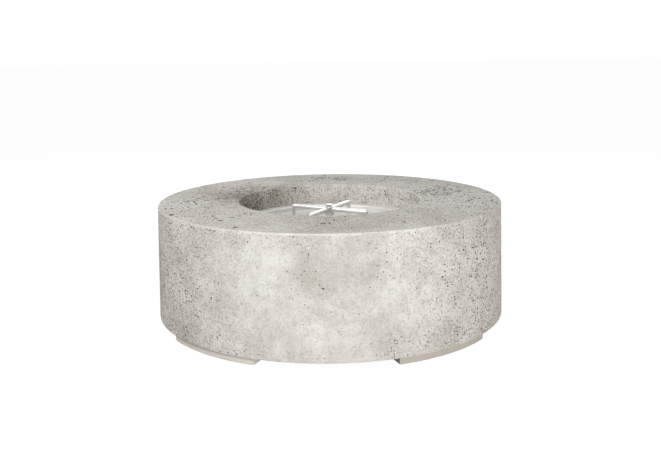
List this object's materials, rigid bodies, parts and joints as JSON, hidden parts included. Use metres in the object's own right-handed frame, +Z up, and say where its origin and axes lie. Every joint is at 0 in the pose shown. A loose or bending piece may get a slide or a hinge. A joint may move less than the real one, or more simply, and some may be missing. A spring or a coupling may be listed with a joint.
{
  "type": "fire bowl",
  "caption": "Low round cast-concrete fire bowl on low recessed feet, with a round fire opening and a lift-out cross-shaped gas burner on a dished pan.",
  "frame": {"origin": "on the ground under the middle of the drum", "axes": "+Z up along the drum's axis, -Y towards the front, +X to the right"},
  "size_m": [1.2196, 1.2198, 0.414],
  "materials": {
    "concrete": "cast, unsealed, pitted with small air holes",
    "foot_concrete": "smooth cast, matt",
    "pan_stainless": "satin sheet",
    "stainless": "bright drawn",
    "zinc_steel": "zinc plated",
    "brass": "machined",
    "ptfe": "moulded",
    "lever_paint": "dipped"
  },
  "bodies": {
    "bowl": {"concrete_drum": "concrete", "foot_screws": "zinc_steel", "foot_inserts": "brass", "foot_front_right": "foot_concrete", "foot_back_right": "foot_concrete", "foot_back_left": "foot_concrete", "foot_front_left": "foot_concrete"},
    "burner": {"burner_pan": "pan_stainless", "burner_hub": "stainless", "hub_plug": "stainless", "burner_arm_front_right": "stainless", "arm_end_plug_front_right": "stainless", "arm_stand_front_right": "stainless", "burner_arm_back_right": "stainless", "arm_end_plug_back_right": "stainless", "arm_stand_back_right": "stainless", "burner_arm_back_left": "stainless", "arm_end_plug_back_left": "stainless", "arm_stand_back_left": "stainless", "burner_arm_front_left": "stainless", "arm_end_plug_front_left": "stainless", "arm_stand_front_left": "stainless", "stand_end_screws": "zinc_steel", "stand_foot_screws": "zinc_steel", "stand_foot_nuts": "zinc_steel", "riser_nipple": "stainless", "riser_top_washer": "stainless", "riser_bottom_washer": "stainless", "riser_top_nut": "stainless", "riser_bottom_nut": "stainless", "air_mixer": "brass", "gas_orifice": "brass", "inlet_elbow": "brass", "valve_body": "brass", "valve_end_piece": "brass", "inlet_fitting": "brass", "valve_seats": "ptfe"},
    "valve_handle": {"valve_ball": "stainless", "valve_stem": "stainless", "valve_lever": "lever_paint", "lever_nut": "zinc_steel"}
  },
  "joints": [
    {"name": "burner_lift", "type": "slide", "parent": "bowl", "child": "burner", "axis": [0, 0, 1], "range_m": [0, 0.3]},
    {"name": "valve_turn", "type": "hinge", "parent": "burner", "child": "valve_handle", "pos_m": [0, 0.05824, 0.161], "axis": [0, 0, 1], "range_deg": [0, 90]}
  ]
}
